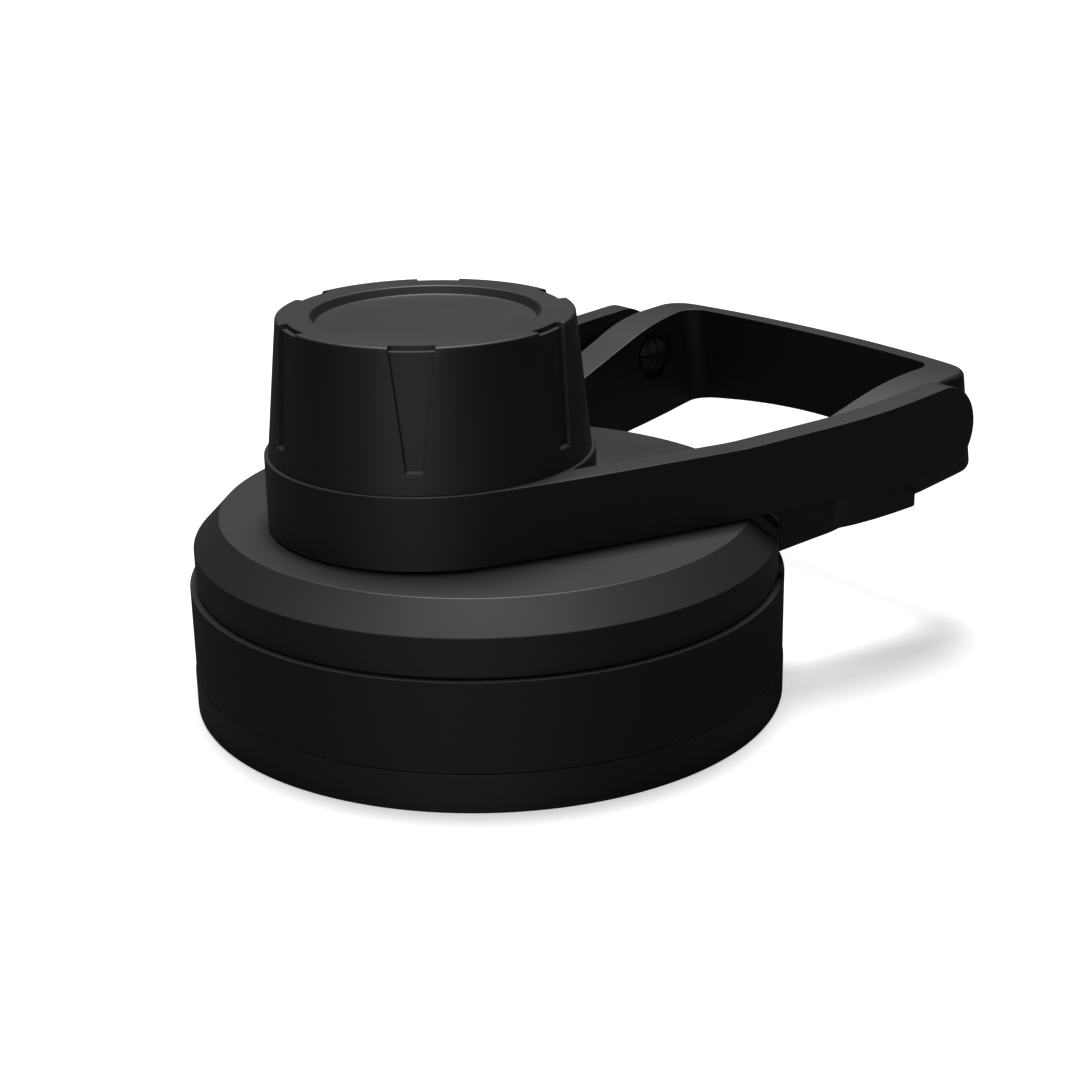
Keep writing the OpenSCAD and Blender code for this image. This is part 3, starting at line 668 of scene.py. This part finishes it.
def cap_shell():
    """Cap as a skin through its rows, with each notch's edges between columns of their own."""
    # Columns across one notch: place beyond the notch's edge, and how much of its wall is cut there
    side = [(NOTCH_EDGE, 0), (0.3 * NOTCH_EDGE, 0.03), (0, NOTCH_EDGE), (-0.005, None)]
    grid = []
    for r_out, z, r_in in cap_rows():
        rise = limited((z - NOTCH_FOOT) / (CAP_TOP - NOTCH_FOOT))
        half = NOTCH_FOOT_HALF_W + (NOTCH_TOP_HALF_W - NOTCH_FOOT_HALF_W) * rise
        line = []

        def place(r, angle):
            line.append(Vector((SPOUT_X + r * math.cos(angle), r * math.sin(angle), z)))

        for n in range(NOTCHES):
            middle = math.radians(FIRST_NOTCH + 360 * n / NOTCHES)

            def edge_angle(beyond, r):
                if r > 6:
                    return math.asin((half + beyond) / r)
                return math.radians(12) * (half + beyond) / NOTCH_TOP_HALF_W

            for beyond, cut in side:
                r = r_in if cut is None else max(r_in, r_out - cut)
                place(r, middle - edge_angle(beyond, r))
            for k in range(-4, 5):
                place(r_in, middle + edge_angle(-0.005, r_in) * k / 5)
            for beyond, cut in reversed(side):
                r = r_in if cut is None else max(r_in, r_out - cut)
                place(r, middle + edge_angle(beyond, r))
            start = middle + edge_angle(NOTCH_EDGE, r_out)
            gap = TURN / NOTCHES - 2 * edge_angle(NOTCH_EDGE, r_out)
            for k in range(1, 16):
                place(r_out, start + gap * k / 16)
        grid.append(line + [line[0].copy()])
    return solid("cap_shell_moulding", grid, wrap=True)


def cap_liner():
    """Threaded sleeve whose foot flange lies under the yoke's ring."""
    flange_r, flange_top, thread_low, ceiling = 16.3, 23.15, 23.2, 38.35
    rows = [(p[0], p[1], SPOUT_X) for p in rounded([
        ((SLEEVE_R, thread_low), 0), ((SLEEVE_R, SLEEVE_LOW), 0.35), ((flange_r, SLEEVE_LOW), 0.25),
        ((flange_r, flange_top), 0.25), ((SLEEVE_OUT_R, flange_top), 0.1),
        ((SLEEVE_OUT_R, SLEEVE_TOP), 0.3), ((0, SLEEVE_TOP), 0),
    ], 4, closed=False)]
    rows += [(0, ceiling, SPOUT_X), (SLEEVE_R, ceiling, SPOUT_X)]
    rows += reversed(thread_rows(SLEEVE_R, SPOUT_X, thread_low, 36.3, SPOUT_PITCH, 0.5, GROOVE))
    return spin("cap_liner_moulding", rows, 160)


def grip_band():
    in_r = BAND_SEAT_R + 0.05
    points = [(in_r, RIM_H, 0), (BAND_R, RIM_H, EDGE_R), (BAND_R, BAND_TOP, EDGE_R), (in_r, BAND_TOP, 0)]
    return spin("grip_band_rubber", ring_rows(points, 0, 5))


finished(lid_shell(), "lid_shell", "lid", black)
finished(lid_liner(), "lid_liner", "lid", black)
finished(grip_band(), "grip_band", "lid", band_rubber)
finished(seal("bottle_gasket_ring", 27.8, 24.4, 13, GASKET_TOP, 0), "bottle_gasket", "lid", silicone)
finished(yoke(), "yoke", "yoke", black)
finished(cap_shell(), "cap_shell", "cap", black)
finished(cap_liner(), "cap_liner", "cap", black)
finished(seal("cap_gasket_ring", 13.65, 10.85, 36.55, 38.35, SPOUT_X), "cap_gasket", "cap", silicone)


# Camera, fitted to the lid's round edges in the photograph

FOCAL_PX, PICTURE_PX, SENSOR_MM = 2002.8, 1080, 36
azimuth = math.radians(39.96)
roll = math.radians(-1.04)
eye = Vector((-130.5, -164.9, 92.8)) * MM
aim = Vector((4.50, -3.77, 16.77)) * MM
forward = (aim - eye).normalized()
flat_right = Vector((math.cos(azimuth), -math.sin(azimuth), 0))
right = (flat_right - forward * flat_right.dot(forward)).normalized()
up = right.cross(forward)
rolled_right = math.cos(roll) * right + math.sin(roll) * up
rolled_up = -math.sin(roll) * right + math.cos(roll) * up
camera_data = bpy.data.cameras.new("camera")
camera = bpy.data.objects.new("camera", camera_data)
bpy.context.scene.collection.objects.link(camera)
turn = Matrix((rolled_right, rolled_up, -forward)).transposed().to_4x4()
camera.matrix_world = Matrix.Translation(eye) @ turn
camera_data.sensor_fit = "HORIZONTAL"
camera_data.sensor_width = SENSOR_MM
camera_data.lens = FOCAL_PX / PICTURE_PX * SENSOR_MM
camera_data.clip_start = 0.01
camera_data.clip_end = 20
bpy.context.scene.camera = camera


# Floor, world and lamps: levels for straight, glossy and other rays

FLOOR_LEVELS, WORLD_LEVELS = (0.45, 0.015, 0.05), (1.0, 0.015, 0.03)
GLOW_GLOSSY, GLOW_OTHER = 0.005, 0.0


def plane(name, size, z):
    """Square on the floor's level."""
    mesh = bpy.data.meshes.new(name)
    h = size / 2
    mesh.from_pydata([(-h, -h, z), (h, -h, z), (h, h, z), (-h, h, z)], [], [(0, 1, 2, 3)])
    o = bpy.data.objects.new(name, mesh)
    bpy.context.scene.collection.objects.link(o)
    return o


def ray_level(nodes, links, straight, glossy, other):
    """Value by the kind of ray: straight for the camera's and transmitted ones, or glossy, or other."""
    path = nodes.new("ShaderNodeLightPath")

    def joined_with(kind, first, second):
        node = nodes.new("ShaderNodeMath")
        node.operation = kind
        for socket, value in zip(node.inputs, (first, second)):
            if isinstance(value, float):
                socket.default_value = value
            else:
                links.new(value, socket)
        return node.outputs[0]

    direct = joined_with("MAXIMUM", path.outputs["Is Camera Ray"], path.outputs["Is Transmission Ray"])
    bright = joined_with("MULTIPLY", direct, straight)
    sheen = joined_with("MULTIPLY", path.outputs["Is Glossy Ray"], glossy)
    return joined_with("MAXIMUM", joined_with("MAXIMUM", bright, sheen), other)


def floor_material():
    """White floor that keeps the object's shadow, and turns to plain white away from it."""
    m = material("floor_white")
    nodes, links = m.node_tree.nodes, m.node_tree.links
    out = nodes.new("ShaderNodeOutputMaterial")
    place = nodes.new("ShaderNodeTexCoord")
    far = nodes.new("ShaderNodeVectorMath")
    far.operation = "LENGTH"
    links.new(place.outputs["Object"], far.inputs[0])
    spread = nodes.new("ShaderNodeMapRange")
    spread.inputs["From Min"].default_value = 0.1
    spread.inputs["From Max"].default_value = 0.35
    spread.inputs["To Min"].default_value = 0.6
    spread.inputs["To Max"].default_value = 1
    links.new(far.outputs["Value"], spread.inputs["Value"])
    lit = nodes.new("ShaderNodeBsdfDiffuse")
    links.new(ray_level(nodes, links, *FLOOR_LEVELS), lit.inputs["Color"])
    glow = nodes.new("ShaderNodeEmission")
    level = ray_level(nodes, links, spread.outputs["Result"], GLOW_GLOSSY, GLOW_OTHER)
    links.new(level, glow.inputs["Strength"])
    both = nodes.new("ShaderNodeAddShader")
    links.new(lit.outputs[0], both.inputs[0])
    links.new(glow.outputs[0], both.inputs[1])
    side = nodes.new("ShaderNodeNewGeometry")
    clear = nodes.new("ShaderNodeBsdfTransparent")
    mix = nodes.new("ShaderNodeMixShader")
    links.new(side.outputs["Backfacing"], mix.inputs["Fac"])
    links.new(both.outputs[0], mix.inputs[1])
    links.new(clear.outputs[0], mix.inputs[2])
    links.new(mix.outputs[0], out.inputs["Surface"])
    return m


floor = plane("floor", 6, -0.00005)
floor.data.materials.append(floor_material())

world = bpy.data.worlds.new("world")
bpy.context.scene.world = world
world.use_nodes = True
background = world.node_tree.nodes["Background"]
background.inputs["Color"].default_value = (1, 1, 1, 1)
tree = world.node_tree
tree.links.new(ray_level(tree.nodes, tree.links, *WORLD_LEVELS), background.inputs["Strength"])


def lamp(name, place, size, power):
    """Round lamp aimed at the middle of the lid. Lengths are metres here."""
    data = bpy.data.lights.new(name, "AREA")
    data.shape = "DISK"
    data.size = size
    data.energy = power
    o = bpy.data.objects.new(name, data)
    bpy.context.scene.collection.objects.link(o)
    o.location = place
    o.rotation_euler = (Vector((0, 0, 0.025)) - Vector(place)).to_track_quat("-Z", "Y").to_euler()


lamp("key", (0.086, 0.133, 0.921), 0.4, 15.4)
lamp("fill", (-0.62, -0.5, 0.09), 0.6, 2.1)

bpy.context.scene.view_settings.view_transform = "Standard"
